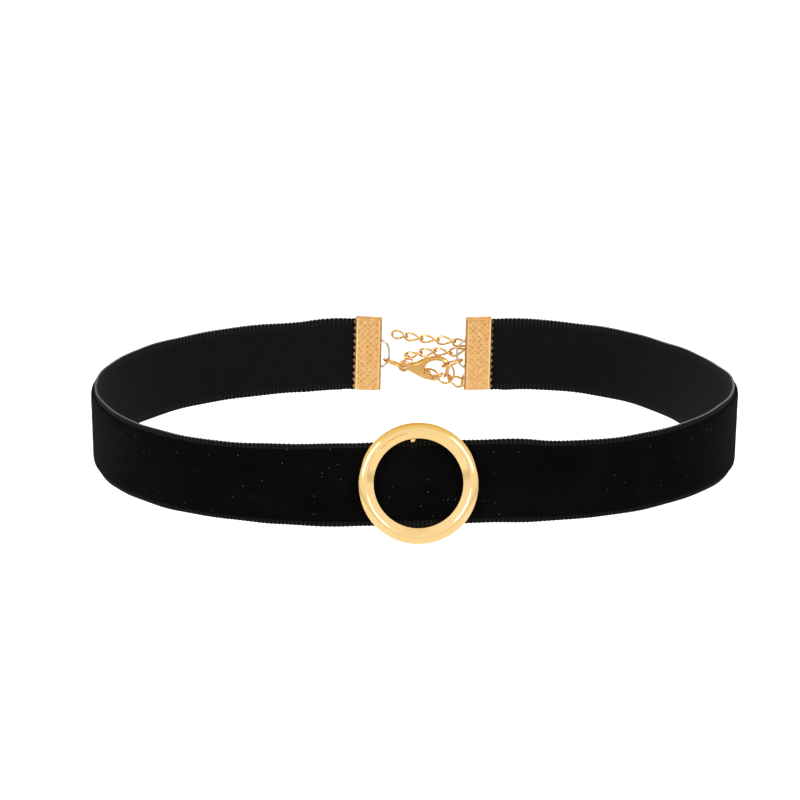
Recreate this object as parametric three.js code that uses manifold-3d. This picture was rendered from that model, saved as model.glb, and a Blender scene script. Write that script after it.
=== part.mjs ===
// Velvet ribbon choker, closed: a 16 mm ribbon threaded through a round slide ring at the front,
// folded metal ends, a lobster clasp and an extender chain at the back.
// Millimetres, +Z up. The origin is the middle of the loop, at half the ribbon's height; +X is the wearer's
// left when the ring is at the front, and +Y points from the ring to the clasp.
import * as THREE from "three";
import { mergeVertices } from "three/addons/utils/BufferGeometryUtils.js";
import Module from "manifold-3d";

const wasm = await Module();
wasm.setup();

const DEG = Math.PI / 180;
const V3 = (x, y, z) => new THREE.Vector3(x, y, z);

// ---------- driving dimensions, mm ----------
const RIBBON_WIDTH = 15.8; // sold as 16 mm
const RIBBON_THICK = 1.2; // woven back and pile together
const RIBBON_PRESSED = 0.7; // inside the folded ends
const RIBBON_STEPS = 118;
const GAP = 0.3; // clearance between neighbouring pieces

const RING_CENTRE = V3(0.78, -45.6, 1.1);
const RING_OUTER = 11.3; // radius
const RING_HOLE = 8.38; // radius
const RING_LEAN = 15.5; // deg, the top leans towards the clasp
const RING_YAW = 3.0; // deg, the right side lies further back
const RING_ROLL = 0.65; // deg, the ribbon climbs to the right
const BAR_TURN = 3.5; // deg, the ring is turned this much more than the ribbon
const BAR_WIDTH = 2.2;
const BAR_THICK = 1.0;
const BAR_REACH = 10.6; // the bar's ends are cast into the back of the ring
const STRAIGHT_AT_RING = 12.5; // the ribbon runs flat this far to each side of the ring's centre

const CRIMP_LENGTH = 5.9; // along the ribbon, teeth included
const CRIMP_HEIGHT = 15.8;
const CRIMP_PLATE = 0.38;
const CRIMP_GAP = 0.25; // between a plate and the ribbon
const CRIMP_THICK = RIBBON_PRESSED + 2 * (CRIMP_GAP + CRIMP_PLATE);
const CRIMP_TEETH = 11;
const TOOTH_DEPTH = 0.8;
const LOOP_REACH = 1.9; // stamped loop at the fold, outer half axes
const LOOP_HALF = 3.1;
const LOOP_BAND = 0.5;
const LOOP_THICK = 0.7;

const JUMP_RADIUS = 2.2; // to the middle of the wire
const JUMP_WIRE = 0.5; // diameter

const CLASP_Y = 43.5;
const CLASP_THICK = 1.7;
const EYE_OUTER = 1.2; // radius
const EYE_HOLE = 0.68; // radius
const EYE_THICK = 1.3;
const SLOT_THICK = 1.15; // the slot that the lever's root turns in
const LEVER_ROOT_THICK = 0.6;
const LEVER_THICK = 1.5;
const PIVOT_CHEEK = 0.95; // radius
const PIVOT_ROOT = 0.7; // radius
const PIVOT_HOLE = 0.38; // radius
const PIVOT_PIN = 0.18; // radius

const CHAIN_THICK = 1.5; // outer diameter of the twisted curb chain
const CHAIN_STEPS = 64;

// ---------- the loop, seen from above: one row every 15 deg, anticlockwise from +X ----------
// radius and height place the middle of the ribbon; lean > 0 tips its top edge outwards
const LOOP_ROWS = [
  { bearing: 0, radius: 62.5, height: 0.1, lean: 2.9 },
  { bearing: 15, radius: 60.6, height: -0.8, lean: 4.6 },
  { bearing: 30, radius: 60.0, height: -1.4, lean: -1.0 },
  { bearing: 45, radius: 58.9, height: -1.4, lean: -7.2 },
  { bearing: 60, radius: 53.5, height: -0.8, lean: -7.4 },
  { bearing: 75, radius: 45.9, height: -0.25, lean: -5.0 },
  { bearing: 90, radius: 43.0, height: 0, lean: -4.4 },
  { bearing: 105, radius: 44.1, height: 0.1, lean: -5.3 },
  { bearing: 120, radius: 48.8, height: -0.15, lean: -6.6 },
  { bearing: 135, radius: 54.7, height: -0.6, lean: -6.0 },
  { bearing: 150, radius: 59.6, height: -1, lean: -3.3 },
  { bearing: 165, radius: 62.2, height: -1.1, lean: -0.5 },
  { bearing: 180, radius: 62.6, height: -0.8, lean: 1.0 },
  { bearing: 195, radius: 62.0, height: -0.2, lean: 1.6 },
  { bearing: 210, radius: 60.9, height: 0.5, lean: 3.6 },
  { bearing: 225, radius: 58.7, height: 1.1, lean: 4.6 },
  { bearing: 240, radius: 53.7, height: 1.2, lean: 0.3 },
  { bearing: 255, radius: 47.3, height: 1, lean: -8.6 },
  { bearing: 270, radius: 44.6, height: 1.1, lean: -15.5 },
  { bearing: 285, radius: 45.5, height: 1.2, lean: -12.6 },
  { bearing: 300, radius: 50.3, height: 0.8, lean: -2.4 },
  { bearing: 315, radius: 56.4, height: 0.8, lean: 4.4 },
  { bearing: 330, radius: 60.9, height: 1, lean: 2.6 },
  { bearing: 345, radius: 62.9, height: 0.8, lean: 0.8 },
];

// The folded ends: the middle of the fold, the direction from the fold to the ribbon, and the lean of the end.
const ENDS = {
  left: { fold: V3(-6.45, 42.7, 0.2), heading: 178.0, lean: -4.6, roll: 0.0 },
  right: { fold: V3(10.7, 44.3, -0.3), heading: 8.0, lean: -5.0, roll: 1.6 },
};

// Clasp outline in its own plane, hook side first, clockwise seen from the front. The lever closes the gap
// between the last row of the hook's inner edge and the pivot.
const CLASP_BODY = [
  { x: -1.15, z: -1.95 }, // beside the eye, top
  { x: 0.0, z: -2.0 },
  { x: 1.2, z: -1.5 },
  { x: 2.6, z: -0.75 },
  { x: 4.3, z: -0.42 },
  { x: 5.8, z: -0.5 },
  { x: 7.05, z: -1.15 },
  { x: 7.55, z: -2.2 },
  { x: 7.5, z: -3.3 },
  { x: 7.15, z: -4.3 },
  { x: 6.48, z: -5.0 }, // tip of the hook
  { x: 6.25, z: -4.75 },
  { x: 6.6, z: -4.1 },
  { x: 6.76, z: -3.2 },
  { x: 6.76, z: -2.3 },
  { x: 6.35, z: -1.7 },
  { x: 5.4, z: -1.28 },
  { x: 4.3, z: -1.25 },
  { x: 3.4, z: -1.55 },
  { x: 2.8, z: -2.1 },
  { x: 2.55, z: -2.7 },
  { x: 2.7, z: -3.3 }, // the cheeks begin
  { x: 2.9, z: -4.4 },
  { x: 2.5, z: -5.1 },
  { x: 1.8, z: -4.85 },
  { x: 0.8, z: -4.35 },
  { x: -0.3, z: -3.7 },
  { x: -1.15, z: -3.15 }, // beside the eye, bottom
];
const EYE = { x: -1.92, z: -2.5 };
const PIVOT = { x: 2.85, z: -4.3 };
// Lever: the middle line of its arm from the pivot to the tip, with the arm's width there
const LEVER_ARM = [
  { x: 2.85, z: -4.3, width: 1.0 },
  { x: 3.6, z: -4.62, width: 0.85 },
  { x: 4.4, z: -4.84, width: 0.8 },
  { x: 5.2, z: -4.72, width: 0.72 },
  { x: 5.75, z: -4.35, width: 0.62 },
  { x: 6.0, z: -3.95, width: 0.5 },
];
const LEVER_WIDE_FROM = 1.35; // distance from the pivot where the arm leaves the slot
const LEVER_TAB = { x: 4.35, z: -5.2, radius: 0.34 };

const JUMP_RINGS = {
  left: { centre: V3(-3.9, 43.2, -1.77), slope: -21.0, pitch: -8.0 },
  right: { centre: V3(8.05, 43.7, -1.9), slope: 18.0, pitch: -8.0 },
};

// The middle of the extender chain, from the right end's loop to the chain's free end
const CHAIN_ROUTE = [
  { x: 8.0, y: 45.5, z: 0.45 }, // beside the loop
  { x: 6.7, y: 46.1, z: -0.3 },
  { x: 4.6, y: 46.0, z: -0.35 },
  { x: 2.3, y: 45.9, z: -0.35 },
  { x: 0.3, y: 45.9, z: -0.55 },
  { x: -1.0, y: 45.9, z: -1.1 }, // turns back behind the clasp's eye
  { x: -0.9, y: 45.9, z: -2.4 },
  { x: 0.5, y: 45.9, z: -3.1 },
  { x: 2.4, y: 45.9, z: -4.4 },
  { x: 4.4, y: 45.9, z: -5.2 },
  { x: 6.8, y: 46.0, z: -5.6 },
  { x: 8.9, y: 46.4, z: -6.3 },
  { x: 10.6, y: 47.1, z: -6.7 }, // passes behind the right end
  { x: 11.8, y: 47.5, z: -5.0 },
  { x: 12.0, y: 47.6, z: -3.0 },
  { x: 11.5, y: 47.4, z: -1.0 },
  { x: 10.6, y: 46.9, z: 0.9 },
  { x: 9.5, y: 46.1, z: 2.4 },
  { x: 7.4, y: 45.8, z: 3.0 },
  { x: 4.6, y: 45.7, z: 3.15 },
  { x: 1.6, y: 45.7, z: 3.35 },
  { x: -1.4, y: 45.7, z: 3.75 },
  { x: -3.9, y: 45.7, z: 4.05 }, // free end
];

// ---------- helpers ----------
const smooth = (a, b, x) => {
  const t = Math.min(1, Math.max(0, (x - a) / (b - a)));
  return t * t * (3 - 2 * t);
};

// A closed mesh made from a list of equal sections, each a list of points, capped at both ends.
function loft(sections) {
  const n = sections[0].length;
  const position = [];
  const index = [];
  for (const s of sections) for (const p of s) position.push(p.x, p.y, p.z);
  for (let i = 0; i + 1 < sections.length; i++)
    for (let j = 0; j < n; j++) {
      const a = i * n + j;
      const b = i * n + ((j + 1) % n);
      index.push(a, b + n, b, a, a + n, b + n);
    }
  const last = (sections.length - 1) * n;
  for (let j = 1; j + 1 < n; j++) {
    index.push(0, j, j + 1);
    index.push(last, last + j + 1, last + j);
  }
  const g = new THREE.BufferGeometry();
  g.setAttribute("position", new THREE.Float32BufferAttribute(position, 3));
  g.setIndex(index);
  return g;
}

function solid(geometry, matrix = new THREE.Matrix4()) {
  const g = geometry.clone();
  g.deleteAttribute("normal");
  g.deleteAttribute("uv");
  g.applyMatrix4(matrix);
  const m = mergeVertices(g, 1e-4);
  return new wasm.Manifold(
    new wasm.Mesh({
      numProp: 3,
      vertProperties: new Float32Array(m.attributes.position.array),
      triVerts: new Uint32Array(m.index.array),
    }),
  );
}

function geometryOf(made) {
  const m = made.getMesh();
  const g = new THREE.BufferGeometry();
  g.setAttribute("position", new THREE.Float32BufferAttribute(m.vertProperties, 3));
  g.setIndex(Array.from(m.triVerts));
  const flat = g.toNonIndexed();
  flat.computeVertexNormals();
  return flat;
}

// A plate of even thickness from a closed outline in the x-z plane, centred on y = 0.
function plate(outline, thick) {
  const shape = new THREE.Shape(outline.map((p) => new THREE.Vector2(p.x, p.z)));
  const g = new THREE.ExtrudeGeometry(shape, { depth: thick, bevelEnabled: false, curveSegments: 12 });
  g.translate(0, 0, -thick / 2);
  g.rotateX(Math.PI / 2);
  return g;
}

// A round disc whose axis is Y.
function disc(x, z, radius, thick, sides = 20) {
  const g = new THREE.CylinderGeometry(radius, radius, thick, sides);
  g.translate(x, 0, z);
  return g;
}

// A smooth outline through rows of x and z.
function smoothOutline(rows, perRow = 2) {
  const curve = new THREE.CatmullRomCurve3(rows.map((p) => V3(p.x, 0, p.z)), false, "centripetal");
  return curve.getPoints((rows.length - 1) * perRow).map((p) => ({ x: p.x, z: p.z }));
}

// A ring of round wire, its axis along Z.
function wireRing(radius, wire, around = 28, sides = 8) {
  const profile = [];
  for (let i = 0; i <= sides; i++) {
    const a = (i / sides) * 2 * Math.PI;
    profile.push(new THREE.Vector2(radius + (wire / 2) * Math.cos(a), (wire / 2) * Math.sin(a)));
  }
  profile[sides].copy(profile[0]);
  const g = new THREE.LatheGeometry(profile, around);
  g.rotateX(Math.PI / 2);
  return g;
}

function frameMatrix(origin, right, up, normal) {
  return new THREE.Matrix4().makeBasis(right, up, normal).setPosition(origin);
}

// ---------- frames ----------
// The ring's own axes: right along the ribbon, up across it, out towards the front.
const ringOut = V3(0, -Math.cos(RING_LEAN * DEG), Math.sin(RING_LEAN * DEG)).applyAxisAngle(V3(0, 0, 1), RING_YAW * DEG);
const ringRight = V3(1, 0, 0).applyAxisAngle(V3(0, 0, 1), RING_YAW * DEG).applyAxisAngle(ringOut, RING_ROLL * DEG);
const ringUp = new THREE.Vector3().crossVectors(ringOut, ringRight);

// A folded end's own axes: along from the fold to the ribbon, up, and out away from the neck.
function endFrame(end, side) {
  const along = V3(Math.cos(end.heading * DEG), Math.sin(end.heading * DEG), 0);
  const out = V3(0, 0, 1).cross(along).multiplyScalar(side); // horizontal, away from the neck
  const up = V3(0, 0, Math.cos(end.lean * DEG)).addScaledVector(out, Math.sin(end.lean * DEG));
  up.applyAxisAngle(out, -end.roll * DEG);
  along.addScaledVector(up, -along.dot(up)).normalize();
  const normal = new THREE.Vector3().crossVectors(along, up);
  if (normal.dot(out) < 0) normal.negate();
  return { origin: end.fold, along, up, out: normal };
}
const endLeft = endFrame(ENDS.left, -1);
const endRight = endFrame(ENDS.right, 1);

// ---------- the ribbon's route ----------
const loopCurve = new THREE.CatmullRomCurve3(
  LOOP_ROWS.map((r) => V3(r.radius, r.height, r.lean)),
  true,
  "catmullrom",
  0.5,
);
function freeStation(bearing) {
  const row = loopCurve.getPoint((((bearing % 360) + 360) % 360) / 360);
  const a = bearing * DEG;
  const next = loopCurve.getPoint(((((bearing + 1) % 360) + 360) % 360) / 360);
  const here = V3(row.x * Math.cos(a), row.x * Math.sin(a), row.y);
  const there = V3(next.x * Math.cos(a + DEG), next.x * Math.sin(a + DEG), next.y);
  const along = there.sub(here).setZ(0).normalize();
  const out = V3(along.y, -along.x, 0);
  const up = V3(0, 0, Math.cos(row.z * DEG)).addScaledVector(out, Math.sin(row.z * DEG));
  return { here, up };
}
// The ribbon lies behind the ring, between the ring and its bar.
const ribbonAtRing = RING_CENTRE.clone().addScaledVector(ringOut, -(GAP + RIBBON_THICK / 2));
function station(bearing) {
  const s = freeStation(bearing);
  let thick = RIBBON_THICK;
  const u = s.here.clone().sub(ribbonAtRing).dot(ringRight);
  if (s.here.y < 0) {
    const w = 1 - smooth(STRAIGHT_AT_RING, STRAIGHT_AT_RING + 13, Math.abs(u));
    s.here.lerp(ribbonAtRing.clone().addScaledVector(ringRight, u), w);
    s.up.lerp(ringUp, w).normalize();
  }
  for (const e of [endLeft, endRight]) {
    const q = s.here.clone().sub(e.origin).dot(e.along);
    const near = s.here.distanceTo(e.origin);
    if (near < 30 && q > -5) {
      const w = 1 - smooth(CRIMP_LENGTH + 1, CRIMP_LENGTH + 11, q);
      s.here.lerp(e.origin.clone().addScaledVector(e.along, q), w);
      s.up.lerp(e.up, w).normalize();
      thick = Math.min(thick, THREE.MathUtils.lerp(RIBBON_PRESSED, RIBBON_THICK, smooth(CRIMP_LENGTH + 0.4, CRIMP_LENGTH + 3.4, q)));
    }
  }
  return { ...s, thick };
}
// The bearing at which the ribbon ends, just short of the fold's inner wall.
function endBearing(e, from, to) {
  let [a, b] = [from, to];
  for (let i = 0; i < 40; i++) {
    const mid = (a + b) / 2;
    const q = station(mid).here.sub(e.origin).dot(e.along);
    if (q < CRIMP_PLATE + GAP) a = mid;
    else b = mid;
  }
  return (a + b) / 2;
}
const fromBearing = endBearing(endLeft, 88, 115);
const toBearing = endBearing(endRight, 440, 410);

const route = [];
for (let i = 0; i <= RIBBON_STEPS; i++)
  route.push(station(THREE.MathUtils.lerp(fromBearing, toBearing, i / RIBBON_STEPS)));

const ROWS_UP = [-1, -0.34, 0.34, 1]; // the ribbon's height in three strips
const ribbonSections = route.map((s, i) => {
  const a = route[Math.max(0, i - 1)].here;
  const b = route[Math.min(RIBBON_STEPS, i + 1)].here;
  const along = b.clone().sub(a).normalize();
  const up = s.up.clone().addScaledVector(along, -s.up.dot(along)).normalize();
  const out = new THREE.Vector3().crossVectors(along, up);
  const at = (h, t) =>
    s.here.clone().addScaledVector(up, (h * RIBBON_WIDTH) / 2).addScaledVector(out, (t * s.thick) / 2);
  return [...ROWS_UP.map((h) => at(h, 1)), ...ROWS_UP.slice().reverse().map((h) => at(h, -1))];
});
const ribbonGeometry = loft(ribbonSections);

// ---------- ring with its bar ----------
// Profile of the ring: radius, and height above its flat back
const RING_PROFILE = [
  { radius: RING_HOLE, height: 0.0 },
  { radius: RING_OUTER - 0.35, height: 0.0 },
  { radius: RING_OUTER - 0.05, height: 0.35 },
  { radius: RING_OUTER, height: 0.8 },
  { radius: RING_OUTER - 0.3, height: 1.45 },
  { radius: RING_OUTER - 0.85, height: 1.95 },
  { radius: RING_OUTER - 1.45, height: 2.1 },
  { radius: RING_OUTER - 1.75, height: 2.0 },
  { radius: RING_HOLE + 0.1, height: 0.95 },
  { radius: RING_HOLE, height: 0.8 },
];
function ringSolid() {
  const profile = [...RING_PROFILE, RING_PROFILE[0]].map((p) => new THREE.Vector2(p.radius, p.height));
  const lathe = new THREE.LatheGeometry(profile, 64);
  lathe.rotateX(Math.PI / 2); // axis along the ring's out direction
  let ring = solid(lathe);
  if (ring.volume() < 0) throw new Error("ring profile runs the wrong way");
  const drop = RIBBON_THICK + 2 * GAP; // room for the ribbon between ring and bar
  const barShape = [
    { x: -BAR_REACH, y: 0.4 },
    { x: -BAR_REACH, y: -drop - BAR_THICK + 0.35 },
    { x: -BAR_REACH + 0.35, y: -drop - BAR_THICK },
    { x: BAR_REACH - 0.35, y: -drop - BAR_THICK },
    { x: BAR_REACH, y: -drop - BAR_THICK + 0.35 },
    { x: BAR_REACH, y: 0.4 },
    { x: BAR_REACH - 1.9, y: 0.4 },
    { x: BAR_REACH - 1.9, y: -drop },
    { x: -BAR_REACH + 1.9, y: -drop },
    { x: -BAR_REACH + 1.9, y: 0.4 },
  ];
  const shape = new THREE.Shape(barShape.map((p) => new THREE.Vector2(p.x, p.y)));
  const bar = new THREE.ExtrudeGeometry(shape, { depth: BAR_WIDTH, bevelEnabled: false });
  bar.translate(0, 0, -BAR_WIDTH / 2);
  // shape x runs up the ring, shape y runs out of it, depth runs across
  const turn = new THREE.Matrix4().makeBasis(V3(0, 1, 0), V3(0, 0, 1), V3(1, 0, 0));
  const spin = new THREE.Matrix4().makeRotationZ(BAR_TURN * DEG);
  return ring.add(solid(bar, spin.multiply(turn)));
}
const ringGeometry = geometryOf(ringSolid());

// ---------- folded ends ----------
// Built with x from the fold to the ribbon, z up, y through the thickness.
function endGeometry() {
  const outline = [{ x: 0, z: -CRIMP_HEIGHT / 2 }];
  const pitch = CRIMP_HEIGHT / CRIMP_TEETH;
  for (let i = 0; i < CRIMP_TEETH; i++) {
    const z0 = -CRIMP_HEIGHT / 2 + i * pitch;
    outline.push({ x: CRIMP_LENGTH - TOOTH_DEPTH, z: z0 }, { x: CRIMP_LENGTH, z: z0 + pitch / 2 });
  }
  outline.push({ x: CRIMP_LENGTH - TOOTH_DEPTH, z: CRIMP_HEIGHT / 2 }, { x: 0, z: CRIMP_HEIGHT / 2 });
  const face = plate(outline, CRIMP_PLATE);
  const off = (CRIMP_THICK - CRIMP_PLATE) / 2;
  const move = (y) => new THREE.Matrix4().makeTranslation(0, y, 0);
  // the fold: a bar with rounded outer edges, section in x-y, run along z
  const r = 0.5;
  const h = CRIMP_THICK / 2;
  const round = [0, 1, 2, 3].map((i) => (i * Math.PI) / 6);
  const fold = new THREE.Shape([
    new THREE.Vector2(r + 0.2, -h),
    new THREE.Vector2(r + 0.2, -h + CRIMP_PLATE),
    new THREE.Vector2(CRIMP_PLATE, -h + CRIMP_PLATE),
    new THREE.Vector2(CRIMP_PLATE, h - CRIMP_PLATE),
    new THREE.Vector2(r + 0.2, h - CRIMP_PLATE),
    new THREE.Vector2(r + 0.2, h),
    ...round.map((t) => new THREE.Vector2(r - r * Math.sin(t), h - r + r * Math.cos(t))),
    ...round.map((t) => new THREE.Vector2(r - r * Math.cos(t), -h + r - r * Math.sin(t))),
  ]);
  const foldBar = new THREE.ExtrudeGeometry(fold, { depth: CRIMP_HEIGHT, bevelEnabled: false });
  foldBar.translate(0, 0, -CRIMP_HEIGHT / 2);
  // the plates start where the fold's round ends
  const cut = plate([
    { x: r, z: -20 }, { x: 20, z: -20 }, { x: 20, z: 20 }, { x: r, z: 20 },
  ], 10);
  const keep = solid(cut);
  let made = solid(face, move(off)).intersect(keep).add(solid(face, move(-off)).intersect(keep));
  made = made.add(solid(foldBar));
  // the stamped loop, half an oval band standing out from the fold
  const loop = new THREE.Shape();
  loop.absellipse(0, 0, LOOP_REACH, LOOP_HALF, 0, 2 * Math.PI, false, 0);
  const hole = new THREE.Path();
  hole.absellipse(0, 0, LOOP_REACH - LOOP_BAND, LOOP_HALF - LOOP_BAND, 0, 2 * Math.PI, true, 0);
  loop.holes.push(hole);
  const band = new THREE.ExtrudeGeometry(loop, { depth: LOOP_THICK, bevelEnabled: false, curveSegments: 14 });
  band.translate(0, 0, -LOOP_THICK / 2);
  band.rotateX(Math.PI / 2);
  const half = plate([
    { x: -5, z: -5 }, { x: 0.2, z: -5 }, { x: 0.2, z: 5 }, { x: -5, z: 5 },
  ], 4);
  return made.add(solid(band).intersect(solid(half)));
}
function placeEnd(e) {
  // local x along, local y out, local z up; turned about when that would mirror the piece
  const y = e.out.clone();
  if (new THREE.Vector3().crossVectors(e.along, y).dot(e.up) < 0) y.negate();
  return frameMatrix(e.origin, e.along, y, e.up);
}
const endSolid = endGeometry();

// ---------- clasp ----------
function claspBody() {
  const hook = smoothOutline(CLASP_BODY.slice(0, 22));
  const low = smoothOutline(CLASP_BODY.slice(21));
  const outline = [...hook, ...low.slice(1)];
  let made = solid(plate(outline, CLASP_THICK));
  made = made.add(solid(disc(PIVOT.x, PIVOT.z, PIVOT_CHEEK, CLASP_THICK)));
  made = made.add(solid(disc(EYE.x, EYE.z, EYE_OUTER, EYE_THICK, 28)));
  made = made.subtract(solid(disc(EYE.x, EYE.z, EYE_HOLE, 4, 24)));
  // the slot for the lever's root
  const slot = plate([
    { x: PIVOT.x - PIVOT_ROOT - GAP, z: -6 },
    { x: PIVOT.x + 2, z: -6 },
    { x: PIVOT.x + 2, z: PIVOT.z + 1.3 },
    { x: PIVOT.x - PIVOT_ROOT - GAP, z: PIVOT.z + 1.3 },
  ], SLOT_THICK);
  made = made.subtract(solid(slot));
  return made.add(solid(disc(PIVOT.x, PIVOT.z, PIVOT_PIN, CLASP_THICK + 0.2, 10)));
}
function claspLever() {
  const curve = new THREE.CatmullRomCurve3(LEVER_ARM.map((p) => V3(p.x, p.width, p.z)), false, "centripetal");
  const points = curve.getPoints(14);
  const left = [];
  const right = [];
  points.forEach((p, i) => {
    const a = points[Math.max(0, i - 1)];
    const b = points[Math.min(points.length - 1, i + 1)];
    const t = new THREE.Vector2(b.x - a.x, b.z - a.z).normalize();
    left.push({ x: p.x - (t.y * p.y) / 2, z: p.z + (t.x * p.y) / 2 });
    right.push({ x: p.x + (t.y * p.y) / 2, z: p.z - (t.x * p.y) / 2 });
  });
  const tip = points[points.length - 1];
  const arm = [...right, ...left.reverse()];
  const thin = solid(plate(arm, LEVER_ROOT_THICK));
  const wideZone = solid(disc(PIVOT.x, PIVOT.z, 8, 6, 32)).subtract(solid(disc(PIVOT.x, PIVOT.z, LEVER_WIDE_FROM, 8, 32)));
  const wide = solid(plate(arm, LEVER_THICK)).intersect(wideZone);
  let made = thin.add(wide);
  made = made.add(solid(disc(PIVOT.x, PIVOT.z, PIVOT_ROOT, LEVER_ROOT_THICK)));
  made = made.add(solid(disc(tip.x, tip.z, tip.y / 2, LEVER_THICK, 14)));
  made = made.add(solid(disc(LEVER_TAB.x, LEVER_TAB.z, LEVER_TAB.radius, LEVER_THICK, 14)));
  return made.subtract(solid(disc(PIVOT.x, PIVOT.z, PIVOT_HOLE, 4, 16)));
}

// ---------- chain ----------
function chainGeometry() {
  const curve = new THREE.CatmullRomCurve3(CHAIN_ROUTE.map((p) => V3(p.x, p.y, p.z)), false, "centripetal");
  const section = new THREE.Shape();
  section.absarc(0, 0, CHAIN_THICK / 2, 0, 2 * Math.PI, false);
  return new THREE.ExtrudeGeometry(section, {
    steps: CHAIN_STEPS,
    extrudePath: curve,
    bevelEnabled: false,
    curveSegments: 4,
  });
}

// ---------- the assembly ----------
const choker = new THREE.Group();
function piece(name, geometry, colour, roughness, metalness) {
  const mesh = new THREE.Mesh(geometry, new THREE.MeshStandardMaterial({ color: colour, roughness, metalness }));
  mesh.name = name;
  choker.add(mesh);
  return mesh;
}
function place(mesh, matrix) {
  matrix.decompose(mesh.position, mesh.quaternion, mesh.scale);
  return mesh;
}

piece("velvet_ribbon", ribbonGeometry, 0x0c0c0d, 0.95, 0.0);
place(piece("ring_buckle", ringGeometry, 0xf2c46a, 0.18, 1.0), frameMatrix(RING_CENTRE, ringRight, ringUp, ringOut));
place(piece("crimp_left", geometryOf(endSolid), 0xe8b56a, 0.35, 1.0), placeEnd(endLeft));
place(piece("crimp_right", geometryOf(endSolid), 0xe8b56a, 0.35, 1.0), placeEnd(endRight));
for (const side of ["left", "right"]) {
  const ring = JUMP_RINGS[side];
  const mesh = piece("jump_ring_" + side, wireRing(JUMP_RADIUS, JUMP_WIRE), 0xe3b15c, 0.25, 1.0);
  mesh.position.copy(ring.centre);
  mesh.rotation.set(ring.pitch * DEG, -ring.slope * DEG, 0, "YXZ");
}
const clasp = new THREE.Group();
clasp.position.y = CLASP_Y;
choker.add(clasp);
const body = piece("clasp_body", geometryOf(claspBody()), 0xe2ac58, 0.25, 1.0);
const lever = piece("clasp_lever", geometryOf(claspLever()), 0xe2ac58, 0.25, 1.0);
clasp.add(body, lever);
piece("extender_chain", chainGeometry(), 0xe6b460, 0.28, 1.0);

export default choker;
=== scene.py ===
import math

import bmesh
import bpy
import numpy as np
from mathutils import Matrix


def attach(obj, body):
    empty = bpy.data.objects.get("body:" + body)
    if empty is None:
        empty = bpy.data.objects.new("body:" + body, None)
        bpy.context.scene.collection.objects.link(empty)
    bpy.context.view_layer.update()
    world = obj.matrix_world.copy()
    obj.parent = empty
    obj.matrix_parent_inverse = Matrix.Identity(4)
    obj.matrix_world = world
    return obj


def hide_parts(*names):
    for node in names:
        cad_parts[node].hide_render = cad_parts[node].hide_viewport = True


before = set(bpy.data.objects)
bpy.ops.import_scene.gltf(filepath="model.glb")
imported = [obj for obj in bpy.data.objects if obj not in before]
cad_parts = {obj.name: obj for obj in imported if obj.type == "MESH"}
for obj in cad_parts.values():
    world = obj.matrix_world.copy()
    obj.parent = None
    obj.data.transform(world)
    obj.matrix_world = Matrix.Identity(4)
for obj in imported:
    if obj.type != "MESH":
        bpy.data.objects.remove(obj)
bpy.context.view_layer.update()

MM = 0.001
DEG = math.pi / 180
rng = np.random.default_rng(7)
scene = bpy.context.scene


# ---------- helpers ----------
def vec(*a):
    return np.array(a, float)


def unit(v):
    v = np.asarray(v, float)
    return v / np.linalg.norm(v, axis=-1, keepdims=True)


def smooth(a, b, x):
    t = np.clip((np.asarray(x, float) - a) / (b - a), 0, 1)
    return t * t * (3 - 2 * t)


def turn(v, axis, angle):
    """v turned about a unit axis, angle in radians."""
    return v * math.cos(angle) + np.cross(axis, v) * math.sin(angle) + axis * np.dot(axis, v) * (1 - math.cos(angle))


def make(name, verts, faces, mats, face_mats=None, uv=None, shade=True):
    """A mesh object from points in mm; the object itself stays at the origin."""
    me = bpy.data.meshes.new(name)
    me.from_pydata((np.asarray(verts, float) * MM).tolist(), [], [tuple(int(i) for i in f) for f in faces])
    for m in mats:
        me.materials.append(m)
    if face_mats is not None:
        me.polygons.foreach_set("material_index", np.asarray(face_mats, np.int32))
    if uv is not None:
        layer = me.uv_layers.new(name="cloth")
        loop_vert = np.empty(len(me.loops), np.int32)
        me.loops.foreach_get("vertex_index", loop_vert)
        layer.data.foreach_set("uv", np.asarray(uv, np.float32)[loop_vert].ravel())
    bm = bmesh.new()
    bm.from_mesh(me)
    bmesh.ops.recalc_face_normals(bm, faces=bm.faces)
    bm.to_mesh(me)
    bm.free()
    if shade:
        me.polygons.foreach_set("use_smooth", np.ones(len(me.polygons), bool))
    me.update()
    ob = bpy.data.objects.new(name, me)
    scene.collection.objects.link(ob)
    return ob


def loft_faces(rows, n, close_rows=False, start=0, caps=True):
    """Faces between rows of n points each; every row is a closed section."""
    faces = []
    last = rows if close_rows else rows - 1
    for i in range(last):
        a0 = start + i * n
        b0 = start + ((i + 1) % rows) * n
        for j in range(n):
            k = (j + 1) % n
            faces.append((a0 + j, b0 + j, b0 + k, a0 + k))
    if caps and not close_rows:
        faces.append(tuple(range(start, start + n)))
        faces.append(tuple(range(start + (rows - 1) * n, start + rows * n))[::-1])
    return faces


def catmull(points, per, closed=False):
    """Smooth line through points, per steps to each; further columns go along."""
    p = np.asarray(points, float)
    n = len(p)
    out = []
    for i in range(n if closed else n - 1):
        if closed:
            a, b, c, d = p[(i - 1) % n], p[i], p[(i + 1) % n], p[(i + 2) % n]
        else:
            b, c = p[i], p[i + 1]
            a = p[i - 1] if i > 0 else 2 * b - c
            d = p[i + 2] if i + 2 < n else 2 * c - b
        for k in range(per):
            t = k / per
            out.append(0.5 * ((2 * b) + (c - a) * t + (2 * a - 5 * b + 4 * c - d) * t * t + (3 * b - a - 3 * c + d) * t**3))
    if not closed:
        out.append(p[-1])
    return np.array(out)


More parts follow.
